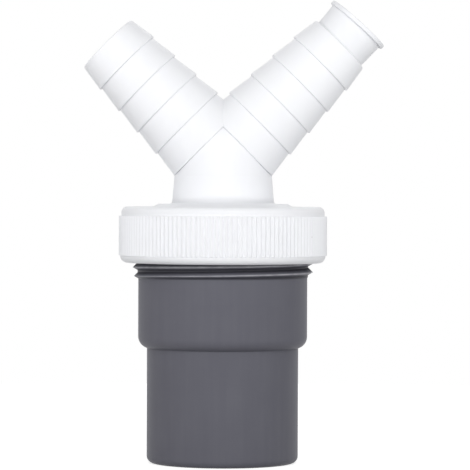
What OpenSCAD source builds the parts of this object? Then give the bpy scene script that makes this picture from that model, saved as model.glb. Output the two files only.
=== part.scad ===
// Double appliance drain connector: a Y-branch with two stepped hose tails, held by a ribbed
// union nut on an adaptor that ends in a spigot for waste pipe.
// The adaptor's axis is Z, its open lower end is at z = 0, and the tails lie in the X-Z plane.

/* [Adaptor] */
// Outside diameter of the pipe spigot
spigot_d = 40.2; // [38:0.1:42]
// Height of the spigot below the shoulder
spigot_h = 30.5; // [24:0.1:40]
// Outside diameter of the socket body above the shoulder
body_d = 44.9; // [44:0.1:48]
// Height of the body's top, where the thread starts
body_top = 49; // [44:0.1:56]
// Wall thickness of the spigot
spigot_wall = 2; // [1.6:0.1:3]
// Wall thickness of the body
body_wall = 2.3; // [1.8:0.1:2.6]
// Radius of the rounded shoulder under the body
shoulder_r = 3.2; // [3:0.1:4]
// Root diameter of the pipe thread on the collar
thread_root_d = 45.3; // [45:0.1:46]
// Height of the collar's top face
rim_z = 60.7; // [58:0.1:63]

/* [Seal] */
// Outside diameter of the flat washer
washer_d = 45; // [42:0.1:46]
// Hole in the washer
washer_hole_d = 34; // [30:0.1:38]
// Thickness of the washer
washer_t = 2; // [1.5:0.1:3]

/* [Union nut] */
// Diameter over the ribs
nut_d = 55.3; // [55.2:0.1:57]
// Diameter of the smooth band above the ribs
upper_band_d = 54; // [53.4:0.1:54.2]
// Diameter of the smooth band below the ribs
lower_band_d = 54.6; // [54:0.1:55]
// Number of grip ribs
rib_count = 135; // [60:1:160]
// Depth of the grooves between the ribs
rib_depth = 0.45; // [0.3:0.05:0.6]
// Height of the nut's lower edge
nut_bottom = 53.1; // [52.6:0.1:55]
// Height of the nut
nut_h = 14.9; // [14:0.1:17]
// Lower end of the ribs above the nut's lower edge
rib_low = 2; // [2:0.1:4]
// Upper end of the ribs above the nut's lower edge
rib_high = 12.4; // [10:0.1:12.6]
// Thickness of the lip that bears on the branch's flange
lip_t = 2.8; // [2:0.1:3.2]
// Clear diameter inside the nut, at the bottom of its thread
nut_bore_d = 48.6; // [48.4:0.1:49]
// Gap between the lip and the branch's hub
lip_gap = 0.3; // [0.2:0.05:0.5]

/* [Branch] */
// Diameter of the hub that shows through the nut
hub_d = 37.3; // [36:0.1:38]
// Height that the hub stands above the nut
hub_proud = 0.75; // [0.4:0.05:1.5]
// Diameter of the flange under the nut's lip
flange_d = 44.6; // [43:0.1:46]
// Diameter of the neck at the hub
neck_low_d = 27; // [26:0.1:28]
// Diameter of the neck under the tails
neck_high_d = 25.9; // [25:0.1:27]
// Height of the point where the tails' axes meet
meet_z = 80.4; // [79:0.1:84]
// Angle of each tail from the vertical
tail_angle = 45; // [43:0.5:48]
// Distance from the meeting point to the first barb
first_barb = 6.1; // [6:0.1:8]
// Diameter over the first barb's crest
barb_d = 24.2; // [23.5:0.1:25]
// Distance from one barb to the next
barb_pitch = 7.5; // [7:0.1:8]
// Number of barbs on each tail
barb_count = 5; // [4:1:5]
// How much smaller each barb is than the one below it
barb_drop = 1.05; // [0.8:0.05:1.2]
// Height of the step behind a barb's crest
barb_step = 0.52; // [0.4:0.02:0.6]
// Rounding of a barb's crest
barb_round = 0.3; // [0.1:0.05:0.35]
// Bore of the tails
tail_bore_d = 14.8; // [13:0.1:15]
// Width of the bore at a tail's open end
mouth_d = 16.3; // [16.2:0.1:16.5]
// Bore of the neck
neck_bore_d = 21.6; // [19:0.1:22]

/* [Blanking plug] */
// Diameter of the plug's cup at its rim
plug_d = 16.6; // [16:0.1:17]
// Diameter of the plug's cup at the tail's end
plug_seat_d = 16; // [15.8:0.1:16.1]
// Length of the cup that stands out of the tail
plug_out = 6.4; // [4:0.1:10]
// Length of the cup inside the tail
plug_in = 8; // [5:0.1:10]
// Diameter of the plug's rim
plug_rim_d = 18.1; // [17.5:0.1:20]
// Thickness of the plug's rim
plug_rim_t = 1.2; // [0.8:0.1:2]
// Angle by which the plug leans in its tail
plug_lean = 3; // [0:0.5:3]
// Wall thickness of the plug
plug_wall = 1.1; // [0.8:0.1:1.6]

/* [Hidden] */
$fn = 120;

white = [0.95, 0.95, 0.97];
grey = [0.41, 0.41, 0.44];
black = [0.12, 0.12, 0.13];

eps = 0.01;
over = 1;
foot_round = 1.8;
collar_step = 0.6;
collar_chamfer = 0.8;
bore_step_h = 3;

nut_top = nut_bottom + nut_h;
lip_z = nut_top - lip_t;
hole_d = hub_d + 2 * lip_gap;
core_inset = 0.2;
core_d = nut_d - 2 * rib_depth - 2 * core_inset;
lower_round = 1.9;
upper_round = 1.6;
entry_chamfer = 0.8;
steps_a_rib = 6;

flange_z = rim_z + washer_t;
hub_top = nut_top + hub_proud;
hub_slope = 1.5;
neck_fillet = 0.8;
// How far the spreading part of the neck stands proud of its round foot
neck_proud = 0.05;

tail_end = first_barb + barb_count * barb_pitch;
segment_taper = barb_drop + 2 * barb_step;
tip_d = crest_d(barb_count - 1) - segment_taper;
tip_round = 0.55;
mouth_depth = 9.6;
// Drop of the neck bore's domed end below the meeting point
dome_drop = 2;

plug_taper = 1.1;
plug_nose = 0.6;
plug_floor = 1.3;
rim_round = 0.35;

// Height at which the first barb's crest meets the side of the neck
neck_top = meet_z + first_barb * cos(tail_angle) - barb_d / 2 * sin(tail_angle);

// Diameter over the crest of barb i, counted from the neck
function crest_d(i) = barb_d - i * barb_drop;

// Points of a rounded corner of radius r about a centre, from one angle to another
function corner(centre, r, from, to, steps = 8) = [
    for (i = [0 : steps])
        let (a = from + (to - from) * i / steps)
        centre + r * [cos(a), sin(a)]
];

// Place children on the tail's axis; side is -1 for the left tail and 1 for the right one
module on_tail(side) {
    translate([0, 0, meet_z])
        rotate([0, side * tail_angle, 0])
            children();
}

// Outline of the adaptor's wall, turned about Z
module adaptor_profile() {
    r_spigot = spigot_d / 2;
    r_body = body_d / 2;
    r_root = thread_root_d / 2;
    r_bore = r_spigot - spigot_wall;
    r_socket = r_body - body_wall;
    arc_x = r_body - shoulder_r;
    arc_drop = sqrt(pow(shoulder_r, 2) - pow(r_spigot - arc_x, 2));
    arc_z = spigot_h + arc_drop;
    arc_from = -atan2(arc_drop, r_spigot - arc_x);
    polygon(concat(
        [[r_bore, 0]],
        corner([r_spigot - foot_round, foot_round], foot_round, -90, 0),
        corner([arc_x, arc_z], shoulder_r, arc_from, 0, steps = 10),
        [
            [r_body, body_top],
            [r_root, body_top + collar_step],
            [r_root, rim_z - collar_chamfer],
            [r_root - collar_chamfer, rim_z],
            [r_socket, rim_z],
            [r_socket, spigot_h + bore_step_h],
            [r_bore, spigot_h]
        ]
    ));
}

module adaptor() {
    color(grey)
        rotate_extrude()
            adaptor_profile();
}

module sealing_washer() {
    color(black)
        translate([0, 0, rim_z])
            difference() {
                cylinder(d = washer_d, h = washer_t);
                translate([0, 0, -over])
                    cylinder(d = washer_hole_d, h = washer_t + 2 * over);
            }
}

// Plain turned form of the nut: a smooth band above and below a core that carries the ribs
module nut_shell() {
    r_low = lower_band_d / 2;
    r_core = core_d / 2;
    r_high = upper_band_d / 2;
    r_bore = nut_bore_d / 2;
    rotate_extrude()
        polygon(concat(
            [[r_bore + entry_chamfer, nut_bottom]],
            corner([r_low - lower_round, nut_bottom + lower_round], lower_round, -90, 0),
            [
                [r_low, nut_bottom + rib_low],
                [r_core, nut_bottom + rib_low],
                [r_core, nut_bottom + rib_high]
            ],
            corner([r_high - upper_round, nut_top - upper_round], upper_round, 0, 90),
            [
                [hole_d / 2, nut_top],
                [hole_d / 2, lip_z],
                [r_bore, lip_z],
                [r_bore, nut_bottom + entry_chamfer]
            ]
        ));
}

// Ring of rounded vertical ribs, one bump for each rib
module rib_ring() {
    step_count = rib_count * steps_a_rib;
    r_mid = nut_d / 2 - rib_depth / 2;
    translate([0, 0, nut_bottom + rib_low])
        linear_extrude(rib_high - rib_low)
            difference() {
                polygon([
                    for (i = [0 : step_count - 1])
                        let (a = 360 * i / step_count, r = r_mid + rib_depth / 2 * cos(a * rib_count))
                        r * [cos(a), sin(a)]
                ]);
                circle(d = core_d - over);
            }
}

module union_nut() {
    color(white)
        union() {
            nut_shell();
            rib_ring();
        }
}

// Outline of one stepped tail along its axis: a root and a rounded crest for each barb, then the tip
module tail_profile() {
    polygon(concat(
        [[0, first_barb]],
        [
            for (i = [0 : barb_count - 1])
                let (root = [crest_d(i) / 2 - barb_step, first_barb + i * barb_pitch])
                each concat(
                    [root],
                    corner(root + [barb_step - barb_round, barb_round], barb_round, -90, 0, steps = 3)
                )
        ],
        corner([tip_d / 2 - tip_round, tail_end - tip_round], tip_round, 0, 90, steps = 6),
        [[0, tail_end]]
    ));
}

// Bore of a tail, which widens towards its open end
module tail_bore() {
    r_bore = tail_bore_d / 2;
    rotate_extrude()
        polygon([
            [0, 0],
            [r_bore, 0],
            [r_bore, tail_end - mouth_depth],
            [mouth_d / 2, tail_end],
            [mouth_d / 2, tail_end + over],
            [0, tail_end + over]
        ]);
}

// Neck that spreads from a round foot to the roots of both tails
module neck() {
    root_d = crest_d(0) - 2 * barb_step;
    hull() {
        translate([0, 0, neck_top - eps])
            cylinder(d = neck_high_d + 2 * neck_proud, h = eps);
        for (side = [-1, 1])
            on_tail(side)
                translate([0, 0, first_barb - eps])
                    cylinder(d = root_d, h = 2 * eps);
    }
}

// Flange, hub and foot of the neck, turned about Z
module branch_foot() {
    foot_fillet = corner(
        [neck_low_d / 2 + neck_fillet, hub_top + neck_fillet], neck_fillet, 270, 180, steps = 5
    );
    rotate_extrude()
        polygon(concat(
            [
                [0, flange_z],
                [flange_d / 2, flange_z],
                [flange_d / 2, lip_z],
                [hub_d / 2, lip_z],
                [hub_d / 2, nut_top],
                [hub_d / 2 - hub_slope, hub_top]
            ],
            foot_fillet,
            [[neck_high_d / 2, neck_top], [0, neck_top]]
        ));
}

module branch() {
    color(white)
        difference() {
            union() {
                branch_foot();
                neck();
                for (side = [-1, 1])
                    on_tail(side)
                        rotate_extrude()
                            tail_profile();
            }
            translate([0, 0, flange_z - over])
                cylinder(d = neck_bore_d, h = meet_z - dome_drop - flange_z + over);
            translate([0, 0, meet_z - dome_drop])
                sphere(d = neck_bore_d);
            for (side = [-1, 1])
                on_tail(side)
                    tail_bore();
        }
}

// Tapered cup with a thin rim, standing on its own axis with the tail's end at z = 0
module plug_profile() {
    r_seat = plug_seat_d / 2;
    r_low = r_seat - plug_taper;
    r_corner = plug_rim_d / 2 - rim_round;
    rim_top = plug_out + plug_rim_t;
    polygon(concat(
        [
            [0, -plug_in],
            [r_low - plug_nose, -plug_in],
            [r_low, plug_nose - plug_in],
            [r_seat, 0],
            [plug_d / 2, plug_out]
        ],
        corner([r_corner, plug_out + rim_round], rim_round, -90, 0, steps = 4),
        corner([r_corner, rim_top - rim_round], rim_round, 0, 90, steps = 4),
        [
            [plug_d / 2 - plug_wall, rim_top],
            [r_seat - plug_wall, 0],
            [r_low - plug_wall, plug_floor - plug_in],
            [0, plug_floor - plug_in]
        ]
    ));
}

module blanking_plug() {
    color(white)
        on_tail(1)
            translate([0, 0, tail_end])
                rotate([0, -plug_lean, 0])
                    rotate_extrude()
                        plug_profile();
}

adaptor();
sealing_washer();
union_nut();
branch();
blanking_plug();
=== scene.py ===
"""Double appliance drain connector: a white Y-branch held by a ribbed union nut on a grey adaptor."""
import math

import bpy
import numpy as np
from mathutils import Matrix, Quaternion, Vector


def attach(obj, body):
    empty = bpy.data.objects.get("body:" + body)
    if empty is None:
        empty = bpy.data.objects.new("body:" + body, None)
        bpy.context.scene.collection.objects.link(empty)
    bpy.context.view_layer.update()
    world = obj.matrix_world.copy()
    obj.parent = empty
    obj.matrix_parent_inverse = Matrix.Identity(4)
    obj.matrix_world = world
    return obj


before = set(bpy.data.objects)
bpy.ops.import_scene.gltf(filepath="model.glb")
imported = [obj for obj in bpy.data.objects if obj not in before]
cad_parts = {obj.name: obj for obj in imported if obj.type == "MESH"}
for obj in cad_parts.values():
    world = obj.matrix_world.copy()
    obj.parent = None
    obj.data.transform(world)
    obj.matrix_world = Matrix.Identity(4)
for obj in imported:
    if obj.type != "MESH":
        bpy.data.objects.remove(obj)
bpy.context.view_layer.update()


# Camera
# The photograph was taken from about 0.8 m away with a long lens, level with the lower part of the neck, and
# the camera was turned by a fifth of a degree.
CAMERA_PLACE = Vector((0.0032, -0.81, 0.0712))
CAMERA_AIM = Vector((0.0032, 0.0, 0.0605))
CAMERA_ROLL = math.radians(0.2)
SENSOR_WIDTH = 36.0
LENS_LENGTH = 233.5

scene = bpy.context.scene
scene.view_settings.view_transform = "Standard"
camera_data = bpy.data.cameras.new("camera")
camera_data.sensor_width = SENSOR_WIDTH
camera_data.lens = LENS_LENGTH
camera = bpy.data.objects.new("camera", camera_data)
camera.location = CAMERA_PLACE
camera.rotation_mode = "QUATERNION"
level_view = (CAMERA_AIM - CAMERA_PLACE).to_track_quat("-Z", "Y")
camera.rotation_quaternion = level_view @ Quaternion((0, 0, 1), CAMERA_ROLL)
scene.collection.objects.link(camera)
scene.camera = camera


# Adaptor
# A grey polypropylene moulding in one piece: a plain spigot that pushes into waste pipe fittings, a wider
# body, and a collar above it. The collar's outside thread comes from the mould, and takes the union nut.
MM = 0.001
COLLAR_ROOT_R = 22.6
COLLAR_CREST_R = 23.95
THREAD_PITCH = 2.309
THREAD_START_Z = 50.7
THREAD_BASE_HALF = 1.0
STEPS_PER_TURN = 144


def smooth_step(x):
    """3x² - 2x³, held at 0 below 0 and at 1 above 1."""
    x = np.clip(x, 0.0, 1.0)
    return x * x * (3.0 - 2.0 * x)


def surface(name, points, close_columns=False, sharp_deg=35.0):
    """A mesh piece from a grid of points in millimetres, rows x columns x 3, with a quad between neighbours.

    Closing joins the last column to the first. Points that meet, as at a pole, are merged, and their quads
    become triangles or go.
    """
    rows, columns = points.shape[:2]
    row, column = np.meshgrid(
        np.arange(rows - 1), np.arange(columns if close_columns else columns - 1), indexing="ij",
    )
    row_on, column_on = row + 1, (column + 1) % columns
    quads = np.stack([
        row * columns + column, row * columns + column_on,
        row_on * columns + column_on, row_on * columns + column,
    ], axis=-1).reshape(-1, 4)

    flat = points.reshape(-1, 3) * MM
    _, first, same = np.unique(np.round(flat, 8), axis=0, return_index=True, return_inverse=True)
    corners = same.reshape(-1)[quads]
    distinct = (corners != np.roll(corners, -1, axis=1)).sum(axis=1)
    faces = [list(dict.fromkeys(quad)) for quad in corners[distinct >= 3].tolist()]

    mesh = bpy.data.meshes.new(name)
    mesh.from_pydata(flat[first].tolist(), [], faces)
    mesh.shade_smooth()
    mesh.set_sharp_from_angle(angle=math.radians(sharp_deg))
    piece = bpy.data.objects.new(name, mesh)
    scene.collection.objects.link(piece)
    return piece


def thread_ridge(name, root_r, crest_r, z_start, first_turn, last_turn, fade_in, fade_out):
    """A V-shaped ridge carried along a helix.

    At turn t the section stands at the angle of t full turns, with its crest z_start + pitch x t high. It
    grows as one minus an exponential of the turns already run, counted in fade_in, and sinks to nothing by a
    smooth step over the last fade_out turns, in height and in width alike.
    """
    # Each point: height over the root as a share of the ridge's depth, and place in half widths of its base.
    section = np.array([
        [-0.15, -0.90], [0.0, -0.78], [0.90, -0.10], [0.98, -0.04], [1.0, 0.0],
        [0.98, 0.06], [0.90, 0.16], [0.0, 1.38], [-0.15, 1.46],
    ])
    turns = np.linspace(first_turn, last_turn, int((last_turn - first_turn) * STEPS_PER_TURN) + 1)[:, None]
    grown = (1 - np.exp((first_turn - turns) / fade_in)) * smooth_step((last_turn - turns) / fade_out)
    radius = root_r + (crest_r - root_r) * section[:, 0] * grown
    height = z_start + THREAD_PITCH * turns + THREAD_BASE_HALF * section[:, 1] * grown
    angle = 2 * math.pi * turns
    points = np.stack([radius * np.cos(angle), radius * np.sin(angle), height], axis=-1)
    if crest_r > root_r:
        points = points[:, ::-1]
    return surface(name, points, close_columns=True, sharp_deg=60.0)


def node(tree, kind, given=(), **settings):
    """A node with its properties set, and its inputs given as (name or index, socket or value)."""
    made = tree.nodes.new(kind)
    for key, value in settings.items():
        setattr(made, key, value)
    for socket, source in given:
        if hasattr(source, "links"):
            tree.links.new(source, made.inputs[socket])
        else:
            made.inputs[socket].default_value = source
    return made


def maths(tree, operation, *values):
    """The result of one Math node on sockets or numbers."""
    return node(tree, "ShaderNodeMath", enumerate(values), operation=operation).outputs[0]


def ramp(tree, value, from_low, from_high, to_low=0.0, to_high=1.0):
    """A straight ramp, held at its ends: from_low gives to_low, and from_high gives to_high."""
    return node(tree, "ShaderNodeMapRange", [
        ("Value", value), ("From Min", from_low), ("From Max", from_high),
        ("To Min", to_low), ("To Max", to_high),
    ]).outputs[0]


def noise(tree, place, scale, detail, roughness=0.5):
    """Soft noise from about 0 to 1, with its scale in lumps to the metre."""
    return node(tree, "ShaderNodeTexNoise", [
        ("Vector", place), ("Scale", scale), ("Detail", detail), ("Roughness", roughness),
    ]).outputs[0]


def laid_over(tree, mask, under, over):
    """One colour laid over another by a mask."""
    return node(tree, "ShaderNodeMix", [(0, mask), (6, under), (7, over)], data_type="RGBA").outputs[2]


def new_group(name, inputs, outputs):
    """An empty shader node group, with named sockets {name: (kind, default)} going in and {name: kind} out.

    Also gives its own ends: the sockets that bring the inputs, and those that take the outputs.
    """
    group = bpy.data.node_groups.new(name, "ShaderNodeTree")
    for label, (kind, default) in inputs.items():
        group.interface.new_socket(label, in_out="INPUT", socket_type=kind).default_value = default
    for label, kind in outputs.items():
        group.interface.new_socket(label, in_out="OUTPUT", socket_type=kind)
    return group, group.nodes.new("NodeGroupInput").outputs, group.nodes.new("NodeGroupOutput").inputs


# What moulding leaves on any plastic: soft clouds of tint, flow streaks drawn out along the axis, orange peel
# and, from handling, fine specks of dust.
moulded, given, result = new_group(
    "moulded_plastic",
    {
        "Colour": ("NodeSocketColor", (0.8, 0.8, 0.8, 1.0)),
        "Cloud Colour": ("NodeSocketColor", (0.7, 0.7, 0.7, 1.0)),
        "Cloud Size": ("NodeSocketFloat", 90.0),
        "Streak Size": ("NodeSocketFloat", 500.0),
        "Roughness": ("NodeSocketFloat", 0.4),
        "Roughness Change": ("NodeSocketFloat", 0.08),
        "Peel Size": ("NodeSocketFloat", 1400.0),
        "Dust Colour": ("NodeSocketColor", (0.5, 0.5, 0.5, 1.0)),
        "Dust Share": ("NodeSocketFloat", 0.02),
    },
    {"Colour": "NodeSocketColor", "Roughness": "NodeSocketFloat", "Height": "NodeSocketFloat"},
)
CLOUD_CONTRAST = (0.12, 0.42)
STREAK_SQUEEZE = (1.0, 1.0, 0.06)
SPECK_CELLS = 300.0
SPECK_EDGE = (0.03, 0.06)
PEEL_HEIGHT = 0.5

place = node(moulded, "ShaderNodeTexCoord").outputs["Object"]
clouds = noise(moulded, place, given["Cloud Size"], 3.0, 0.55)
drawn = node(moulded, "ShaderNodeMapping", [("Vector", place), ("Scale", STREAK_SQUEEZE)]).outputs[0]
streaks = noise(moulded, drawn, given["Streak Size"], 2.0)
peel = noise(moulded, place, given["Peel Size"], 2.0)
cloud_share = ramp(moulded, maths(moulded, "MULTIPLY", clouds, streaks), *CLOUD_CONTRAST)
tinted = laid_over(moulded, cloud_share, given["Colour"], given["Cloud Colour"])

cells = node(moulded, "ShaderNodeTexVoronoi", [("Vector", place), ("Scale", SPECK_CELLS)]).outputs
lot = node(moulded, "ShaderNodeSeparateColor", [("Color", cells["Color"])]).outputs[0]
has_speck = maths(moulded, "LESS_THAN", lot, given["Dust Share"])
speck = maths(moulded, "MULTIPLY", has_speck, ramp(moulded, cells["Distance"], *SPECK_EDGE, 1.0, 0.0))

sheen_shift = maths(moulded, "SUBTRACT", streaks, 0.5)
roughness = maths(moulded, "MULTIPLY_ADD", sheen_shift, given["Roughness Change"], given["Roughness"])
moulded.links.new(laid_over(moulded, speck, tinted, given["Dust Colour"]), result["Colour"])
moulded.links.new(roughness, result["Roughness"])
moulded.links.new(maths(moulded, "MULTIPLY_ADD", peel, PEEL_HEIGHT, speck), result["Height"])


def plastic(name, values, relief, **shader_values):
    """A moulded plastic or rubber: the moulding group feeds one shader's colour, roughness and relief.

    The relief is in metres. Shader values are set on the shader's own sockets.
    """
    material = bpy.data.materials.new(name)
    material.use_nodes = True
    tree = material.node_tree
    tree.nodes.clear()
    marks = node(tree, "ShaderNodeGroup", values.items(), node_tree=moulded).outputs
    bump = node(tree, "ShaderNodeBump", [("Height", marks["Height"]), ("Distance", relief)])
    shader = node(tree, "ShaderNodeBsdfPrincipled", [
        ("Base Color", marks["Colour"]), ("Roughness", marks["Roughness"]), ("Normal", bump.outputs[0]),
    ])
    for label, value in shader_values.items():
        shader.inputs[label.replace("_", " ")].default_value = value
    node(tree, "ShaderNodeOutputMaterial", [("Surface", shader.outputs[0])])
    return material


# Painted shade in inner corners: the mask is 1 where the surface is closed in by its own piece, up to the
# reach in metres.
corner, given, result = new_group(
    "painted_corner_shade", {"Reach": ("NodeSocketFloat", 0.0006)}, {"Mask": "NodeSocketFloat"},
)
CLOSED_IN = (0.7, 0.3)

open_share = node(
    corner, "ShaderNodeAmbientOcclusion", [("Distance", given["Reach"])], samples=8, only_local=True,
).outputs["AO"]
corner.links.new(ramp(corner, open_share, *CLOSED_IN), result["Mask"])


def lay_painted_tone(material, mask, colour):
    """Lays a colour over a material's own colour, by a mask: here painted shade or a painted highlight."""
    tree = material.node_tree
    base = next(n for n in tree.nodes if n.type == "BSDF_PRINCIPLED").inputs["Base Color"]
    tree.links.new(laid_over(tree, mask, base.links[0].from_socket, colour), base)


def paint_corner_shade(material, reach, colour):
    """Painted shade: a darker colour laid in the inner corners."""
    marks = node(material.node_tree, "ShaderNodeGroup", [("Reach", reach)], node_tree=corner)
    lay_painted_tone(material, marks.outputs["Mask"], colour)


def dress(piece, material):
    """Puts one material on every slot of a piece."""
    if not piece.material_slots:
        piece.data.materials.append(material)
    for slot in piece.material_slots:
        slot.material = material


grey_plastic = plastic(
    "grey_plastic",
    {
        "Colour": (0.118, 0.118, 0.141, 1.0), "Cloud Colour": (0.13, 0.13, 0.153, 1.0),
        "Roughness": 0.46, "Roughness Change": 0.1,
        "Dust Colour": (0.3, 0.3, 0.3, 1.0), "Dust Share": 0.03,
    },
    relief=0.00002,
    Specular_IOR_Level=0.09,
)
# Painted shade in the grey's inner corners.
paint_corner_shade(grey_plastic, 0.0008, (0.05, 0.05, 0.06, 1.0))

# Painted shade darkens the thread's roots and a painted highlight lightens its crest, told apart by their
# distance from the axis. The painted shade stays above the body and outside the collar's wall.
ROOT_SHADE_FADE_Z = (49.0, 49.4)
ROOT_SHADE_FADE_R = (23.4, 22.9)
COLLAR_WALL_R = 22.2
CREST_HIGHLIGHT_FADE_R = (23.5, 23.85)
CREST_HIGHLIGHT_PATCHES = 260.0
PATCH_CONTRAST = (0.3, 0.6)
LEAST_CREST_HIGHLIGHT = 0.45
ROOT_SHADE_COLOUR = (0.045, 0.045, 0.055, 1.0)
CREST_HIGHLIGHT_COLOUR = (0.44, 0.44, 0.47, 1.0)

tree = grey_plastic.node_tree
place = node(tree, "ShaderNodeTexCoord").outputs["Object"]
level = node(tree, "ShaderNodeVectorMath", [(0, place), (1, (1.0, 1.0, 0.0))], operation="MULTIPLY")
from_axis = node(tree, "ShaderNodeVectorMath", [(0, level.outputs[0])], operation="LENGTH").outputs["Value"]
height = node(tree, "ShaderNodeSeparateXYZ", [(0, place)]).outputs["Z"]
above_body = ramp(tree, height, *np.multiply(ROOT_SHADE_FADE_Z, MM))
in_thread = maths(tree, "MULTIPLY", above_body, maths(tree, "GREATER_THAN", from_axis, COLLAR_WALL_R * MM))
root_shade = maths(tree, "MULTIPLY", in_thread, ramp(tree, from_axis, *np.multiply(ROOT_SHADE_FADE_R, MM)))
# Painted shade in the thread's roots.
lay_painted_tone(grey_plastic, root_shade, ROOT_SHADE_COLOUR)
highlight_patchiness = ramp(tree, noise(tree, place, CREST_HIGHLIGHT_PATCHES, 2.0), *PATCH_CONTRAST, LEAST_CREST_HIGHLIGHT, 1.0)
crest_highlight = maths(tree, "MULTIPLY", ramp(tree, from_axis, *np.multiply(CREST_HIGHLIGHT_FADE_R, MM)), highlight_patchiness)
# Painted highlight along the thread's crests, uneven in patches.
lay_painted_tone(grey_plastic, crest_highlight, CREST_HIGHLIGHT_COLOUR)
dress(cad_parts["adaptor"], grey_plastic)

collar_thread = thread_ridge(
    "collar_thread", COLLAR_ROOT_R, COLLAR_CREST_R, THREAD_START_Z,
    first_turn=-0.85, last_turn=3.95, fade_in=0.26, fade_out=0.15,
)
dress(collar_thread, grey_plastic)
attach(collar_thread, "adaptor")


# Sealing washer
# A flat ring moulded in black rubber. It lies on the collar's rim, and the nut presses the branch's flange
# down on it.
seal_rubber = plastic(
    "seal_rubber",
    {
        "Colour": (0.02, 0.02, 0.021, 1.0), "Cloud Colour": (0.035, 0.035, 0.036, 1.0),
        "Roughness": 0.65, "Roughness Change": 0.2,
        "Dust Colour": (0.12, 0.12, 0.12, 1.0), "Dust Share": 0.08,
    },
    relief=0.00004,
)
dress(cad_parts["sealing_washer"], seal_rubber)


# Union nut
# A white polypropylene moulding with close upright ribs for the fingers, between two smooth bands. Its inside
# thread screws on the adaptor's collar, and its lip holds the branch down.
NUT_BORE_R = 24.35
NUT_CREST_R = 23.0

white_plastic = plastic(
    "white_plastic",
    {
        "Colour": (0.862, 0.87, 0.892, 1.0), "Cloud Colour": (0.85, 0.857, 0.885, 1.0),
        "Roughness": 0.38, "Roughness Change": 0.08,
        "Dust Colour": (0.6, 0.6, 0.58, 1.0), "Dust Share": 0.015,
    },
    relief=0.000004,
    Specular_IOR_Level=0.1,
)
# Painted shade in the white's inner corners.
paint_corner_shade(white_plastic, 0.0004, (0.76, 0.76, 0.79, 1.0))
dress(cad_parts["union_nut"], white_plastic)

nut_thread = thread_ridge(
    "nut_thread", NUT_BORE_R, NUT_CREST_R, THREAD_START_Z + THREAD_PITCH / 2,
    first_turn=0.9, last_turn=5.3, fade_in=0.1, fade_out=0.2,
)
dress(nut_thread, white_plastic)
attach(nut_thread, "nut")


# Branch
# A white polypropylene moulding in one piece: a flange and hub held by the nut, a spreading neck, and two
# stepped tails, each of which takes a drain hose under a clip.
dress(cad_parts["branch"], white_plastic)


# Blanking plug
# A small hollow cup of soft white polyethylene, moulded with a thin rim. It is pushed into the right tail and
# stays there until a second hose is fitted.
plug_plastic = plastic(
    "plug_plastic",
    {
        "Colour": (0.845, 0.853, 0.875, 1.0), "Cloud Colour": (0.83, 0.838, 0.865, 1.0),
        "Roughness": 0.45, "Roughness Change": 0.1,
        "Dust Colour": (0.6, 0.6, 0.58, 1.0), "Dust Share": 0.01,
    },
    relief=0.000004,
    Specular_IOR_Level=0.1,
)
# Painted shade in the plug's inner corners.
paint_corner_shade(plug_plastic, 0.0004, (0.7, 0.7, 0.73, 1.0))
dress(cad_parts["blanking_plug"], plug_plastic)


# Floor and light
# A round pale floor under the spigot's end, in a white surround. A broad soft lamp stands high in front, one
# behind and a narrow strip at the left, and three low cards beyond the floor's edge lift the undersides.
FLOOR_RINGS = np.array([340.0, 320.0, 240.0, 120.0, 0.0])
FLOOR_Z = -0.05
FLOOR_COLOUR = (0.6, 0.6, 0.6, 1.0)
FLOOR_GLOW = 0.76
SURROUND_COLOUR = (1.0, 1.0, 1.0, 1.0)
SURROUND_LIGHT = 0.43
LAMP_AIM = Vector((0.0, 0.0, 0.08))


def seen_directly(tree):
    """1 for rays from the camera, by way of gloss or glass too, and 0 for those that light the object."""
    ray = node(tree, "ShaderNodeLightPath").outputs
    seen = maths(tree, "MAXIMUM", ray["Is Camera Ray"], ray["Is Glossy Ray"])
    return maths(tree, "MAXIMUM", seen, ray["Is Transmission Ray"])


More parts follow.
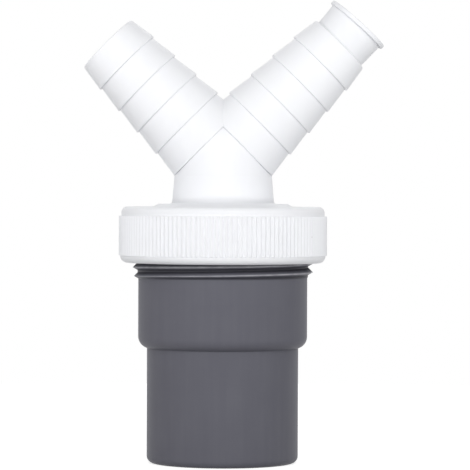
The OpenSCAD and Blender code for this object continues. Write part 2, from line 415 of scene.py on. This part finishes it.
def soft_lamp(name, place_at, size, power):
    """An area lamp of that width and height in metres, turned towards the nut."""
    lamp_data = bpy.data.lights.new(name, "AREA")
    lamp_data.shape = "RECTANGLE"
    lamp_data.size, lamp_data.size_y = size
    lamp_data.energy = power
    lamp = bpy.data.objects.new(name, lamp_data)
    lamp.location = place_at
    lamp.rotation_mode = "QUATERNION"
    lamp.rotation_quaternion = (LAMP_AIM - Vector(place_at)).to_track_quat("-Z", "Y")
    scene.collection.objects.link(lamp)


# Rings of points around the centre, from the edge inwards, all at one height.
angle = np.linspace(0, 2 * math.pi, 96, endpoint=False)
floor_points = np.stack(np.broadcast_arrays(
    FLOOR_RINGS[:, None] * np.cos(angle), FLOOR_RINGS[:, None] * np.sin(angle), FLOOR_Z,
), axis=-1)
floor = surface("floor", floor_points, close_columns=True)
floor_material = bpy.data.materials.new("floor")
floor_material.use_nodes = True
tree = floor_material.node_tree
tree.nodes.clear()
matt = node(tree, "ShaderNodeBsdfDiffuse", [("Color", FLOOR_COLOUR)])
glow_strength = maths(tree, "MULTIPLY", seen_directly(tree), FLOOR_GLOW)
glow = node(tree, "ShaderNodeEmission", [("Strength", glow_strength)])
both = node(tree, "ShaderNodeAddShader", [(0, matt.outputs[0]), (1, glow.outputs[0])])
node(tree, "ShaderNodeOutputMaterial", [("Surface", both.outputs[0])])
dress(floor, floor_material)

world = bpy.data.worlds.new("surround")
world.use_nodes = True
scene.world = world
tree = world.node_tree
tree.nodes.clear()
strength = ramp(tree, seen_directly(tree), 0.0, 1.0, SURROUND_LIGHT, 1.0)
surround = node(tree, "ShaderNodeBackground", [("Color", SURROUND_COLOUR), ("Strength", strength)])
node(tree, "ShaderNodeOutputWorld", [("Surface", surround.outputs[0])])

soft_lamp("front_lamp", (0.0, -0.971, 0.596), (0.9, 0.3), 5.5)
soft_lamp("left_strip", (-0.87, -0.63, 0.2), (0.2, 0.5), 0.5)
soft_lamp("back_lamp", (0.1, 0.9, 0.62), (0.9, 0.4), 1.2)
soft_lamp("front_card", (0.0, -0.42, -0.035), (0.7, 0.12), 0.7)
soft_lamp("left_card", (-0.36, -0.22, -0.035), (0.4, 0.12), 0.8)
soft_lamp("right_card", (0.36, -0.22, -0.035), (0.4, 0.12), 0.95)
